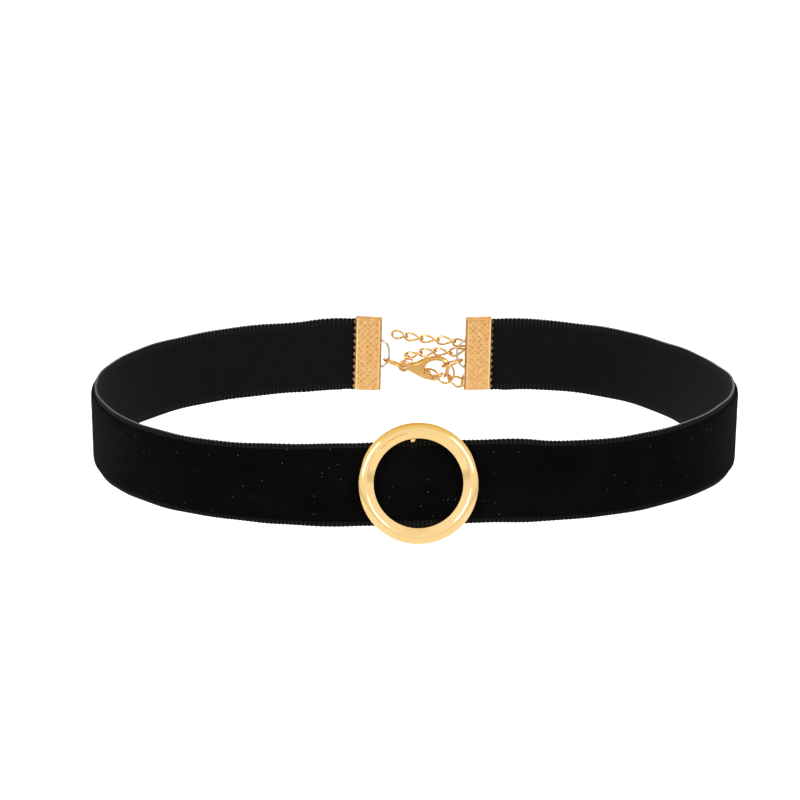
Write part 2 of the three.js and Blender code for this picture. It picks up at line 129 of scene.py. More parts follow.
def tube(path, section, closed=False, up=None):
    """section(i, side, up) sweeps along path: returns points and faces. section rows are (across, up) pairs in mm."""
    p = np.asarray(path, float)
    n = len(p)
    if closed:
        tang = unit(np.roll(p, -1, 0) - np.roll(p, 1, 0))
    else:
        tang = unit(np.gradient(p, axis=0))
    normal = np.empty_like(p)
    if up is not None:
        ref = np.asarray(up, float)
        if ref.ndim == 1:
            ref = np.tile(ref, (n, 1))
        normal = unit(ref - tang * (ref * tang).sum(1, keepdims=True))
    else:
        first = vec(0, 0, 1) if abs(tang[0][2]) < 0.9 else vec(1, 0, 0)
        normal[0] = unit(first - tang[0] * first.dot(tang[0]))
        for i in range(1, n):
            v = normal[i - 1]
            normal[i] = unit(v - tang[i] * v.dot(tang[i]))
        if closed:
            v = normal[-1] - tang[0] * normal[-1].dot(tang[0])
            v = unit(v)
            side0 = np.cross(tang[0], normal[0])
            off = math.atan2(v.dot(side0), v.dot(normal[0]))
            for i in range(n):
                normal[i] = turn(normal[i], tang[i], -off * i / n)
    side = np.cross(tang, normal)
    rows = []
    for i in range(n):
        s = section(i / n if closed else i / (n - 1))
        rows.append(p[i] + s[:, :1] * side[i] + s[:, 1:] * normal[i])
    m = len(rows[0])
    return np.concatenate(rows), loft_faces(n, m, close_rows=closed)


def circle(radius, sides=12):
    a = np.arange(sides) / sides * 2 * np.pi
    return np.stack([np.cos(a), np.sin(a)], 1) * radius


def rounded_rect(w, h, r, per=4):
    pts = []
    for cx, cy, a0 in ((w / 2 - r, h / 2 - r, 0), (-w / 2 + r, h / 2 - r, 90), (-w / 2 + r, -h / 2 + r, 180), (w / 2 - r, -h / 2 + r, 270)):
        for k in range(per + 1):
            a = (a0 + 90 * k / per) * DEG
            pts.append((cx + r * math.cos(a), cy + r * math.sin(a)))
    return np.array(pts)


class Parts:
    """Several closed shells gathered into one mesh."""

    def __init__(self):
        self.v, self.f, self.n = [], [], 0

    def add(self, verts, faces):
        self.v.append(np.asarray(verts, float))
        self.f += [tuple(i + self.n for i in f) for f in faces]
        self.n += len(verts)

    def object(self, name, mats):
        return make(name, np.concatenate(self.v), self.f, mats)


def surface(field, lo, hi, step, keep=3):
    """A closed mesh of the places where field(x, y, z) is zero, negative inside."""
    lo = np.asarray(lo, float)
    size = [int(math.ceil((b - a) / step)) + 1 for a, b in zip(lo, hi)]
    axes = [lo[i] + np.arange(size[i]) * step for i in range(3)]
    X, Y, Z = np.meshgrid(*axes, indexing="ij")
    g = field(X, Y, Z)
    nx, ny, nz = [s - 1 for s in size]
    corner = [(i, j, k) for i in (0, 1) for j in (0, 1) for k in (0, 1)]
    at = {c: g[c[0]:nx + c[0], c[1]:ny + c[1], c[2]:nz + c[2]] for c in corner}
    total = np.zeros((nx, ny, nz, 3))
    count = np.zeros((nx, ny, nz))
    for a in range(3):
        for c in corner:
            if c[a]:
                continue
            d = list(c)
            d[a] = 1
            ga, gb = at[c], at[tuple(d)]
            cross = (ga < 0) != (gb < 0)
            t = np.where(cross, ga / np.where(cross, ga - gb, 1), 0)
            for b in range(3):
                total[..., b] += np.where(cross, c[b] + (t if a == b else 0), 0)
            count += cross
    mixed = count > 0
    index = -np.ones((nx, ny, nz), int)
    index[mixed] = np.arange(mixed.sum())
    where = np.argwhere(mixed)
    verts = (where + total[mixed] / count[mixed][:, None]) * step + lo
    faces = []
    inside = g < 0
    for a in range(3):
        b, c = (a + 1) % 3, (a + 2) % 3
        flip = [slice(None)] * 3
        s0, s1 = list(flip), list(flip)
        s0[a], s1[a] = slice(0, -1), slice(1, None)
        change = inside[tuple(s0)] != inside[tuple(s1)]
        for e in np.argwhere(change):
            if e[b] == 0 or e[c] == 0 or e[b] >= size[b] - 1 or e[c] >= size[c] - 1:
                continue
            quad = []
            for db, dc in ((-1, -1), (0, -1), (0, 0), (-1, 0)):
                q = list(e)
                q[b] += db
                q[c] += dc
                quad.append(index[tuple(q)])
            faces.append(tuple(quad) if inside[tuple(e)] else tuple(quad[::-1]))
    h = step * 0.5
    for _ in range(keep):  # onto the surface itself
        x, y, z = verts.T
        f0 = field(x, y, z)
        grad = np.stack([field(x + h, y, z) - field(x - h, y, z), field(x, y + h, z) - field(x, y - h, z), field(x, y, z + h) - field(x, y, z - h)], 1) / (2 * h)
        size2 = np.maximum((grad**2).sum(1), 0.3)
        move = grad * (f0 / size2)[:, None]
        far = np.linalg.norm(move, axis=1, keepdims=True)
        verts = verts - move * np.minimum(1, step * 0.5 / np.maximum(far, 1e-9))
    return verts, faces


def sd_polygon(outline, x, z):
    """Signed distance in the x-z plane, negative inside."""
    p = np.asarray(outline, float)
    best = np.full(np.shape(x), 1e9)
    sign = np.ones(np.shape(x))
    for i in range(len(p)):
        a, b = p[i], p[i - 1]
        ex, ez = b - a
        wx, wz = x - a[0], z - a[1]
        t = np.clip((wx * ex + wz * ez) / (ex * ex + ez * ez), 0, 1)
        best = np.minimum(best, (wx - ex * t) ** 2 + (wz - ez * t) ** 2)
        c1, c2, c3 = z >= a[1], z < b[1], ex * wz > ez * wx
        sign = np.where((c1 & c2 & c3) | (~c1 & ~c2 & ~c3), -sign, sign)
    return sign * np.sqrt(best)


def plate_field(d, y, half, r):
    """A plate of the outline distance d, with rounded rims."""
    a = d + r
    b = np.abs(y) - half + r
    return np.minimum(np.maximum(a, b), 0) + np.hypot(np.maximum(a, 0), np.maximum(b, 0)) - r


def smooth_min(a, b, k):
    h = np.clip(0.5 + 0.5 * (b - a) / k, 0, 1)
    return b * (1 - h) + a * h - k * h * (1 - h)


def smooth_max(a, b, k):
    return -smooth_min(-a, -b, k)


def rod_field(rows, x, y, z, squeeze):
    """A rod through rows of x, z, radius; squeeze < 1 makes it deeper than wide."""
    best = np.full(np.shape(x), 1e9)
    ys = y * squeeze
    for (ax, az, ar), (bx, bz, br) in zip(rows[:-1], rows[1:]):
        ex, ez = bx - ax, bz - az
        wx, wz = x - ax, z - az
        t = np.clip((wx * ex + wz * ez) / (ex * ex + ez * ez), 0, 1)
        best = np.minimum(best, np.sqrt((wx - ex * t) ** 2 + (wz - ez * t) ** 2 + ys * ys) - (ar + (br - ar) * t))
    return best


# ---------- materials ----------
class Nodes:
    def __init__(self, name):
        self.mat = bpy.data.materials.new(name)
        self.mat.use_nodes = True
        self.tree = self.mat.node_tree
        self.bsdf = self.tree.nodes["Principled BSDF"]

    def new(self, kind, **inputs):
        n = self.tree.nodes.new(kind)
        for k, v in inputs.items():
            n.inputs[k.replace("_", " ")].default_value = v
        return n

    def link(self, a, b):
        self.tree.links.new(a, b)

    def math(self, op, a, b=None, clamp=False):
        n = self.tree.nodes.new("ShaderNodeMath")
        n.operation = op
        n.use_clamp = clamp
        for i, v in enumerate((a, b)):
            if v is None:
                continue
            if isinstance(v, (int, float)):
                n.inputs[i].default_value = v
            else:
                self.link(v, n.inputs[i])
        return n.outputs[0]

    def ramp(self, fac, stops):
        n = self.tree.nodes.new("ShaderNodeValToRGB")
        e = n.color_ramp.elements
        e[0].position, e[0].color = stops[0]
        e[1].position, e[1].color = stops[-1]
        for pos, col in stops[1:-1]:
            x = e.new(pos)
            x.color = col
        self.link(fac, n.inputs[0])
        return n.outputs[0]

    def noise(self, vector, scale, detail=3.0, rough=0.5):
        n = self.tree.nodes.new("ShaderNodeTexNoise")
        n.inputs["Scale"].default_value = scale
        n.inputs["Detail"].default_value = detail
        n.inputs["Roughness"].default_value = rough
        self.link(vector, n.inputs["Vector"])
        return n.outputs["Fac"]

    def place_mm(self):
        """Object coordinates in mm."""
        c = self.tree.nodes.new("ShaderNodeTexCoord")
        m = self.tree.nodes.new("ShaderNodeMapping")
        m.inputs["Scale"].default_value = (1000, 1000, 1000)
        self.link(c.outputs["Object"], m.inputs["Vector"])
        return m.outputs["Vector"]

    def cloth_mm(self):
        """Along the ribbon and across it, in mm."""
        c = self.tree.nodes.new("ShaderNodeUVMap")
        c.uv_map = "cloth"
        m = self.tree.nodes.new("ShaderNodeMapping")
        m.inputs["Scale"].default_value = (100, 100, 100)
        self.link(c.outputs["UV"], m.inputs["Vector"])
        return m.outputs["Vector"]

    def bump(self, height, distance, strength=1.0):
        n = self.tree.nodes.new("ShaderNodeBump")
        n.inputs["Distance"].default_value = distance
        n.inputs["Strength"].default_value = strength
        self.link(height, n.inputs["Height"])
        self.link(n.outputs["Normal"], self.bsdf.inputs["Normal"])


def grey(v, b=None):
    return (v, v, v if b is None else b, 1)


def gold(name, colour, dark, rough, rough_span, dent=0.0, dent_scale=1.0, patch=0.35):
    k = Nodes(name)
    at = k.place_mm()
    tone = k.noise(at, patch, 2.0)
    k.link(k.ramp(tone, [(0.3, (*dark, 1)), (0.7, (*colour, 1))]), k.bsdf.inputs["Base Color"])
    k.bsdf.inputs["Metallic"].default_value = 1.0
    fine = k.noise(at, 3.1, 5.0, 0.6)
    k.link(k.math("ADD", k.math("MULTIPLY", fine, rough_span), rough - rough_span / 2), k.bsdf.inputs["Roughness"])
    if dent:
        k.bump(k.noise(at, dent_scale, 3.0), dent * MM)
    return k.mat


# smoother gold whose lighter colour is a painted highlight, used for the bright lines along the crimps' bend and fold
polished_highlight_line = gold("polished_gold", (0.96, 0.70, 0.34), (0.94, 0.67, 0.30), 0.13, 0.05, 0.01, 0.5)
stamped = gold("stamped_gold", (0.93, 0.55, 0.24), (0.77, 0.42, 0.15), 0.3, 0.14, 0.06, 1.7, 1.3)
# painted shade: dark brown gold for the crimps' bent teeth and the fold's outer edge
edge_painted_shade = gold("edge_painted_shade", (0.54, 0.32, 0.16), (0.36, 0.19, 0.08), 0.35, 0.1, 0.02, 2.0, 1.1)
# painted highlight: pale, washed-out gold for the stamped loops, standing in for the glare on them
loop_painted_highlight = gold("loop_painted_highlight", (0.72, 0.64, 0.55), (0.56, 0.49, 0.42), 0.25, 0.1, 0.01, 2.0)
cast = gold("clasp_gold", (0.80, 0.475, 0.175), (0.70, 0.385, 0.12), 0.2, 0.1, 0.02, 1.2)
wire_gold = gold("chain_gold", (0.86, 0.59, 0.28), (0.72, 0.44, 0.16), 0.2, 0.08, 0.005, 2.0)


def velvet():
    k = Nodes("velvet_pile")
    at = k.cloth_mm()
    tuft = k.noise(at, 5.5, 4.0, 0.7)
    shade = k.noise(at, 0.11, 3.0)
    mix = k.math("ADD", k.math("MULTIPLY", tuft, 0.5), k.math("MULTIPLY", shade, 0.5))
    base = k.ramp(mix, [(0.32, grey(0.0012, 0.0013)), (0.68, grey(0.0034, 0.0036))])
    # lint
    cells = k.new("ShaderNodeTexVoronoi")
    cells.feature = "F1"
    cells.inputs["Scale"].default_value = 1.0
    cells.inputs["Randomness"].default_value = 1.0
    warp = k.tree.nodes.new("ShaderNodeVectorMath")
    warp.operation = "MULTIPLY"
    warp.inputs[1].default_value = (1.35, 0.8, 1.0)
    k.link(at, warp.inputs[0])
    k.link(warp.outputs[0], cells.inputs["Vector"])
    speck = k.math("LESS_THAN", k.math("ADD", cells.outputs["Distance"], k.math("MULTIPLY", k.noise(at, 9.0, 2.0), 0.08)), 0.125)
    some = k.new("ShaderNodeSeparateColor")
    k.link(cells.outputs["Color"], some.inputs[0])
    rare = k.math("GREATER_THAN", some.outputs[0], 0.8)
    lint = k.math("MULTIPLY", speck, rare)
    m = k.tree.nodes.new("ShaderNodeMix")
    m.data_type = "RGBA"
    k.link(lint, m.inputs["Factor"])
    k.link(base, m.inputs["A"] if "A" in m.inputs and m.inputs["A"].type == "RGBA" else m.inputs[6])
    m.inputs[7].default_value = grey(0.12)
    k.link(m.outputs[2], k.bsdf.inputs["Base Color"])
    k.bsdf.inputs["Roughness"].default_value = 1.0
    k.bsdf.inputs["Specular IOR Level"].default_value = 0.02
    k.bsdf.inputs["Sheen Weight"].default_value = 0.02
    k.bsdf.inputs["Sheen Roughness"].default_value = 0.35
    k.bsdf.inputs["Sheen Tint"].default_value = (0.8, 0.8, 0.85, 1)
    k.bump(tuft, 0.12 * MM, 0.6)
    return k.mat


def woven(name, low, high, rib, weft, sheen):
    """Ribs across the ribbon at one pitch, with finer rows along it."""
    k = Nodes(name)
    at = k.cloth_mm()
    split = k.new("ShaderNodeSeparateXYZ")
    k.link(at, split.inputs[0])
    wobble = k.math("MULTIPLY", k.noise(at, 1.3, 2.0), 0.25)
    ribs = k.math("SINE", k.math("MULTIPLY", k.math("ADD", split.outputs[0], wobble), 2 * math.pi / rib))
    rows = k.math("SINE", k.math("MULTIPLY", k.math("ADD", split.outputs[1], wobble), 2 * math.pi / weft))
    height = k.math("ADD", k.math("MULTIPLY", ribs, 0.36), k.math("MULTIPLY", rows, 0.14))
    height = k.math("ADD", height, 0.5)
    grain = k.math("ADD", k.math("MULTIPLY", height, 0.65), k.math("MULTIPLY", k.noise(at, 4.0, 3.0, 0.7), 0.35))
    k.link(k.ramp(grain, [(0.25, grey(low)), (0.75, grey(high, high * 1.02))]), k.bsdf.inputs["Base Color"])
    k.bsdf.inputs["Roughness"].default_value = 0.85
    k.bsdf.inputs["Specular IOR Level"].default_value = 0.08
    k.bsdf.inputs["Sheen Weight"].default_value = sheen
    k.bsdf.inputs["Sheen Roughness"].default_value = 0.4
    k.bump(height, 0.05 * MM, 0.8)
    return k.mat


pile_mat = velvet()
back_mat = woven("woven_back", 0.0014, 0.0062, 0.42, 0.3, 0.006)
selvage_mat = woven("selvage", 0.001, 0.0125, 0.8, 0.55, 0.01)
# painted sheen: the ribbon's top and bottom rim faces are coloured light grey for the light that catches their edge
# from above
rim_painted_sheen_mat = woven("selvage_rim_painted_sheen", 0.06, 0.22, 0.8, 0.3, 0.05)

# ---------- the ring's and the ends' axes, as in the frame ----------
RING_CENTRE = vec(0.78, -45.6, 1.1)
RING_OUTER, RING_HOLE = 11.3, 8.38
RING_LEAN, RING_YAW, RING_ROLL, BAR_TURN = 15.5, 3.0, 0.65, 3.5
RIBBON_HALF, RIBBON_THICK, RIBBON_PRESSED = 7.9, 1.2, 0.7
STRAIGHT_AT_RING = 12.5
CRIMP_LENGTH = 5.9
up_z = vec(0, 0, 1)
ring_out = turn(vec(0, -math.cos(RING_LEAN * DEG), math.sin(RING_LEAN * DEG)), up_z, RING_YAW * DEG)
ring_right = turn(turn(vec(1, 0, 0), up_z, RING_YAW * DEG), ring_out, RING_ROLL * DEG)
ring_up = np.cross(ring_out, ring_right)
ribbon_at_ring = RING_CENTRE - 0.9 * ring_out


def end_frame(fold, heading, lean, roll, side):
    along = vec(math.cos(heading * DEG), math.sin(heading * DEG), 0)
    out = np.cross(up_z, along) * side
    up = vec(0, 0, math.cos(lean * DEG)) + out * math.sin(lean * DEG)
    up = turn(up, out, -roll * DEG)
    along = unit(along - up * along.dot(up))
    normal = np.cross(along, up)
    if normal.dot(out) < 0:
        normal = -normal
    return {"origin": fold, "along": along, "up": up, "out": normal}


END_LEFT = end_frame(vec(-6.45, 42.7, 0.2), 178.0, -4.6, -1.5, -1)
END_RIGHT = end_frame(vec(10.6, 44.3, -0.3), 8.0, -5.0, -0.7, 1)

# bearing, radius, height, lean of the ribbon's middle
LOOP_ROWS = [
    (0, 62.5, 0.1, 2.9), (15, 60.6, -0.8, 4.6), (30, 60.0, -1.4, -1.0), (45, 58.9, -1.4, -7.2),
    (60, 53.5, -0.8, -7.4), (75, 45.9, -0.25, -5.0), (90, 43.0, 0.0, -4.4), (105, 44.1, 0.1, -5.3),
    (120, 48.8, -0.15, -6.6), (135, 54.7, -0.6, -6.0), (150, 59.6, -1.0, -3.3), (165, 62.2, -1.1, -0.5),
    (180, 62.6, -0.8, 1.0), (195, 62.0, -0.2, 1.6), (210, 60.9, 0.5, 3.6), (225, 58.7, 1.1, 4.6),
    (240, 53.7, 1.2, 0.3), (255, 47.3, 1.0, -8.6), (270, 44.6, 1.1, -15.5), (285, 45.5, 1.2, -12.6),
    (300, 50.3, 0.8, -2.4), (315, 56.4, 0.8, 4.4), (330, 60.9, 1.0, 2.6), (345, 62.9, 0.8, 0.8),
]
ROWS = np.array([r[1:] for r in LOOP_ROWS])


def loop_at(bearing):
    t = (np.asarray(bearing, float) % 360) / 15
    i = np.floor(t).astype(int)
    t = (t - i)[:, None]
    a, b, c, d = ROWS[(i - 1) % 24], ROWS[i % 24], ROWS[(i + 1) % 24], ROWS[(i + 2) % 24]
    return 0.5 * ((2 * b) + (c - a) * t + (2 * a - 5 * b + 4 * c - d) * t * t + (3 * b - a - 3 * c + d) * t**3)


def stations(bearing):
    bearing = np.asarray(bearing, float)
    row, nxt = loop_at(bearing), loop_at(bearing + 1)
    a, b = bearing * DEG, (bearing + 1) * DEG
    here = np.stack([row[:, 0] * np.cos(a), row[:, 0] * np.sin(a), row[:, 1]], 1)
    there = np.stack([nxt[:, 0] * np.cos(b), nxt[:, 0] * np.sin(b), nxt[:, 1]], 1)
    along = there - here
    along[:, 2] = 0
    along = unit(along)
    out = np.stack([along[:, 1], -along[:, 0], 0 * a], 1)
    lean = row[:, 2:] * DEG
    up = up_z * np.cos(lean) + out * np.sin(lean)
    u = (here - ribbon_at_ring) @ ring_right
    w = np.where(here[:, 1] < 0, 1 - smooth(STRAIGHT_AT_RING, STRAIGHT_AT_RING + 13, np.abs(u)), 0)[:, None]
    here = here * (1 - w) + (ribbon_at_ring + u[:, None] * ring_right) * w
    up = unit(up * (1 - w) + ring_up * w)
    thick = np.full(len(bearing), RIBBON_THICK)
    for e in (END_LEFT, END_RIGHT):
        q = (here - e["origin"]) @ e["along"]
        near = np.linalg.norm(here - e["origin"], axis=1)
        on = (near < 30) & (q > -5)
        w = np.where(on, 1 - smooth(CRIMP_LENGTH + 1, CRIMP_LENGTH + 11, q), 0)[:, None]
        here = here * (1 - w) + (e["origin"] + q[:, None] * e["along"]) * w
        up = unit(up * (1 - w) + e["up"] * w)
        t = RIBBON_PRESSED + (RIBBON_THICK - RIBBON_PRESSED) * smooth(CRIMP_LENGTH + 0.4, CRIMP_LENGTH + 3.4, q)
        thick = np.where(on, np.minimum(thick, t), thick)
    return here, up, thick


def end_bearing(e, a, b):
    for _ in range(40):
        mid = (a + b) / 2
        q = (stations([mid])[0][0] - e["origin"]) @ e["along"]
        a, b = (mid, b) if q < 0.68 else (a, mid)
    return (a + b) / 2


# ---------- ribbon ----------
first, last = end_bearing(END_LEFT, 88, 115), end_bearing(END_RIGHT, 440, 410)
dense = np.linspace(first, last, 6000)
here, up, thick = stations(dense)
run = np.concatenate([[0], np.cumsum(np.linalg.norm(np.diff(here, axis=0), axis=1))])
RIBBON_LENGTH = float(run[-1])
count = int(RIBBON_LENGTH / 0.2)
s_at = np.linspace(0, RIBBON_LENGTH, count)
bearing_at = np.interp(s_at, run, dense)
here, up, thick = stations(bearing_at)
along = unit(np.gradient(here, axis=0))
up = unit(up - along * (up * along).sum(1, keepdims=True))
out = np.cross(along, up)

# across the ribbon (v, mm), through it (t, mm from the middle plane), and what the strip from this row on is made of
PILE, BACK, SELVAGE, RIM = 0, 1, 2, 3
half_profile = [
    (-7.90, -0.36, RIM), (-7.84, -0.18, SELVAGE), (-7.55, -0.11, SELVAGE), (-7.2, -0.13, SELVAGE), (-6.92, -0.1, PILE),
    (-6.97, 0.12, PILE), (-6.9, 0.36, PILE), (-6.7, 0.52, PILE), (-6.3, 0.59, PILE), (-5.4, 0.6, PILE), (-4.2, 0.6, PILE),
    (-2.8, 0.6, PILE), (-1.4, 0.6, PILE), (0.0, 0.6, PILE),
]
front = half_profile + [(-v, t, half_profile[i - 1][2]) for i, (v, t, _) in reversed(list(enumerate(half_profile[:-1])))]
front = [(v, t, m) for v, t, m in front]
front[-1] = (7.90, -0.36, RIM)
back = [(7.82, -0.55, BACK), (7.3, -0.6, BACK), (6.6, -0.58, BACK), (4.4, -0.6, BACK), (2.2, -0.6, BACK), (0, -0.6, BACK),
        (-2.2, -0.6, BACK), (-4.4, -0.6, BACK), (-6.6, -0.58, BACK), (-7.3, -0.6, BACK), (-7.82, -0.55, RIM)]
profile = front + back
pv = np.array([p[0] for p in profile])
ptk = np.array([p[1] for p in profile])
pm = [p[2] for p in profile]
for j in range(len(profile)):  # the strips beside the back's two edges are selvage too
    a, b = pv[j], pv[(j + 1) % len(profile)]
    if pm[j] == BACK and min(abs(a), abs(b)) > 6.5:
        pm[j] = SELVAGE

V = np.tile(pv, (count, 1))
T = np.tile(ptk, (count, 1))
edge = smooth(6.9, 7.9, np.abs(V))
scallop = 0.17 * (np.abs(np.sin(np.pi * s_at / 0.8)) - 0.6)[:, None]
drift = (0.05 * np.sin(s_at / 3.7) + 0.04 * np.sin(s_at / 1.9 + 1))[:, None]
V = V + np.sign(V) * edge * (scallop + drift)
soft = sum(np.sin(s_at * f + p)[:, None] * np.sin(V * g + q) for f, p, g, q in ((0.9, 0, 1.1, 0.3), (2.3, 1, 1.9, 2), (4.9, 2, 3.1, 1), (8.3, 4, 5.0, 0)))
T = T + np.where(T > 0.3, 0.014 * soft, 0)
# seen through the ring the ribbon fills the hole to its rim, and swells a little towards the front
u_at = (here - ribbon_at_ring) @ ring_right
at_ring = (here[:, 1] < -30)
wide = np.where(at_ring, 1 - smooth(2.6, 4.6, np.abs(u_at)), 0)[:, None]
V = V + np.sign(V) * edge * wide * 0.62
notch = np.where(at_ring, np.exp(-(((u_at + 0.74) / 0.56) ** 4)), 0)[:, None]
V = V - np.where(V > 0, smooth(6.0, 7.9, V) * notch * 0.86, 0)
r_at = np.hypot(u_at[:, None], V)
swell = np.where(at_ring[:, None], 0.62 * (1 - smooth(3.0, 7.6, r_at)), 0)

in_end = smooth(RIBBON_THICK, RIBBON_PRESSED, thick)
thick = thick * (1 - 0.35 * in_end)
V = V * (1 - 0.015 * in_end[:, None])
points = (here[:, None, :] + up[:, None, :] * V[..., None]
          + out[:, None, :] * (T * thick[:, None] / RIBBON_THICK + swell)[..., None])
n = len(profile)
faces = loft_faces(count, n)
fm = (pm * (count - 1)) + [BACK, BACK]
uv = np.stack([np.broadcast_to(s_at[:, None], V.shape), V], -1) / 100
ribbon = make("velvet_ribbon_cloth", points.reshape(-1, 3), faces, [pile_mat, back_mat, selvage_mat, rim_painted_sheen_mat], fm, uv.reshape(-1, 2))
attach(ribbon, "root")
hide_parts("velvet_ribbon")


# ---------- ring ----------
def in_frame(p, origin, x, y, z):
    p = np.asarray(p, float)
    return origin + p[:, :1] * x + p[:, 1:2] * y + p[:, 2:] * z


ring = Parts()
ring_profile = [
    (8.62, 0.0), (9.6, 0.0), (10.75, 0.0), (11.1, 0.08), (11.26, 0.3), (11.31, 0.66), (11.31, 1.0), (11.27, 1.2), (11.16, 1.37), (10.95, 1.59),
    (10.65, 1.83), (10.38, 1.98), (10.14, 2.05), (9.94, 2.04), (9.76, 1.95), (9.68, 1.89), (9.62, 1.845), (9.56, 1.8), (9.48, 1.74), (9.2, 1.53), (8.9, 1.3),
    (8.62, 1.08), (8.45, 0.94), (8.38, 0.8), (8.36, 0.5), (8.4, 0.12),
]
outline = catmull(ring_profile, 4, closed=True)
AROUND = 288
a = np.arange(AROUND) / AROUND * 2 * np.pi
outline[:, 0] += 0.13 * smooth(10.0, 11.2, outline[:, 0])
height = np.tile(outline[:, 1], (AROUND, 1))
crease = smooth(100, 106, a / DEG) * (1 - smooth(130, 138, a / DEG))
on_top = (outline[:, 1] > 1.5) * np.exp(-(((outline[:, 0] - 9.62) / 0.055) ** 2))
height = height - 0.15 * crease[:, None] * on_top
verts = np.stack([np.outer(np.cos(a), outline[:, 0]), np.outer(np.sin(a), outline[:, 0]), height], -1)
ring.add(in_frame(verts.reshape(-1, 3), RING_CENTRE, ring_right, ring_up, ring_out), loft_faces(AROUND, len(outline), close_rows=True))
bar_x = turn(ring_right, ring_out, BAR_TURN * DEG)
bar_y = turn(ring_up, ring_out, BAR_TURN * DEG)
half_bar = [(9.7, 0.5), (9.7, -0.4), (9.68, -1.2), (9.5, -1.85), (9.1, -2.2), (8.5, -2.3), (7.0, -2.3), (4.0, -2.3), (0.0, -2.3)]
bar_line = catmull(half_bar + [(-v, h) for v, h in half_bar[-2::-1]], 5)
bar_path = RING_CENTRE + bar_line[:, :1] * bar_y + bar_line[:, 1:] * ring_out
bv, bf = tube(bar_path, lambda t: rounded_rect(0.98, 2.2, 0.22)[:, ::1], up=bar_x)
ring.add(bv, bf)
ring_gold = gold("ring_gold", (0.96, 0.69, 0.33), (0.94, 0.66, 0.29), 0.13, 0.05, 0.01, 0.5)
tree = ring_gold.node_tree
bsdf = tree.nodes["Principled BSDF"]
plain = bsdf.inputs["Base Color"].links[0].from_socket
where = tree.nodes.new("ShaderNodeTexCoord")
shift = tree.nodes.new("ShaderNodeMapping")
shift.inputs["Scale"].default_value = (1000, 1000, 1000)
shift.inputs["Location"].default_value = tuple(float(-c) for c in RING_CENTRE)
tree.links.new(where.outputs["Object"], shift.inputs["Vector"])
away = tree.nodes.new("ShaderNodeVectorMath")
away.operation = "LENGTH"
tree.links.new(shift.outputs["Vector"], away.inputs[0])
height_at = tree.nodes.new("ShaderNodeSeparateXYZ")
tree.links.new(shift.outputs["Vector"], height_at.inputs[0])
# painted reflection: the base colour turns a deeper amber on the ring's outer slope, more so towards its top, standing
# in for the warm light it reflects from above
steps = []
for source, a0, b0 in ((away.outputs["Value"], 10.3, 10.95), (height_at.outputs["Z"], -3.0, 9.5)):
    m = tree.nodes.new("ShaderNodeMapRange")
    m.interpolation_type = "SMOOTHSTEP"
    m.inputs["From Min"].default_value = a0
    m.inputs["From Max"].default_value = b0
    tree.links.new(source, m.inputs["Value"])
    steps.append(m.outputs["Result"])
painted_tone_mask = tree.nodes.new("ShaderNodeMath")
painted_tone_mask.operation = "MULTIPLY"
tree.links.new(steps[0], painted_tone_mask.inputs[0])
tree.links.new(steps[1], painted_tone_mask.inputs[1])
painted_top_tone = tree.nodes.new("ShaderNodeMix")
painted_top_tone.data_type = "RGBA"
tree.links.new(painted_tone_mask.outputs[0], painted_top_tone.inputs["Factor"])
tree.links.new(plain, painted_top_tone.inputs[6])
painted_top_tone.inputs[7].default_value = (0.84, 0.53, 0.16, 1)
tree.links.new(painted_top_tone.outputs[2], bsdf.inputs["Base Color"])
ring_ob = ring.object("ring_buckle_cast", [ring_gold])
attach(ring_ob, "root")
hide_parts("ring_buckle")


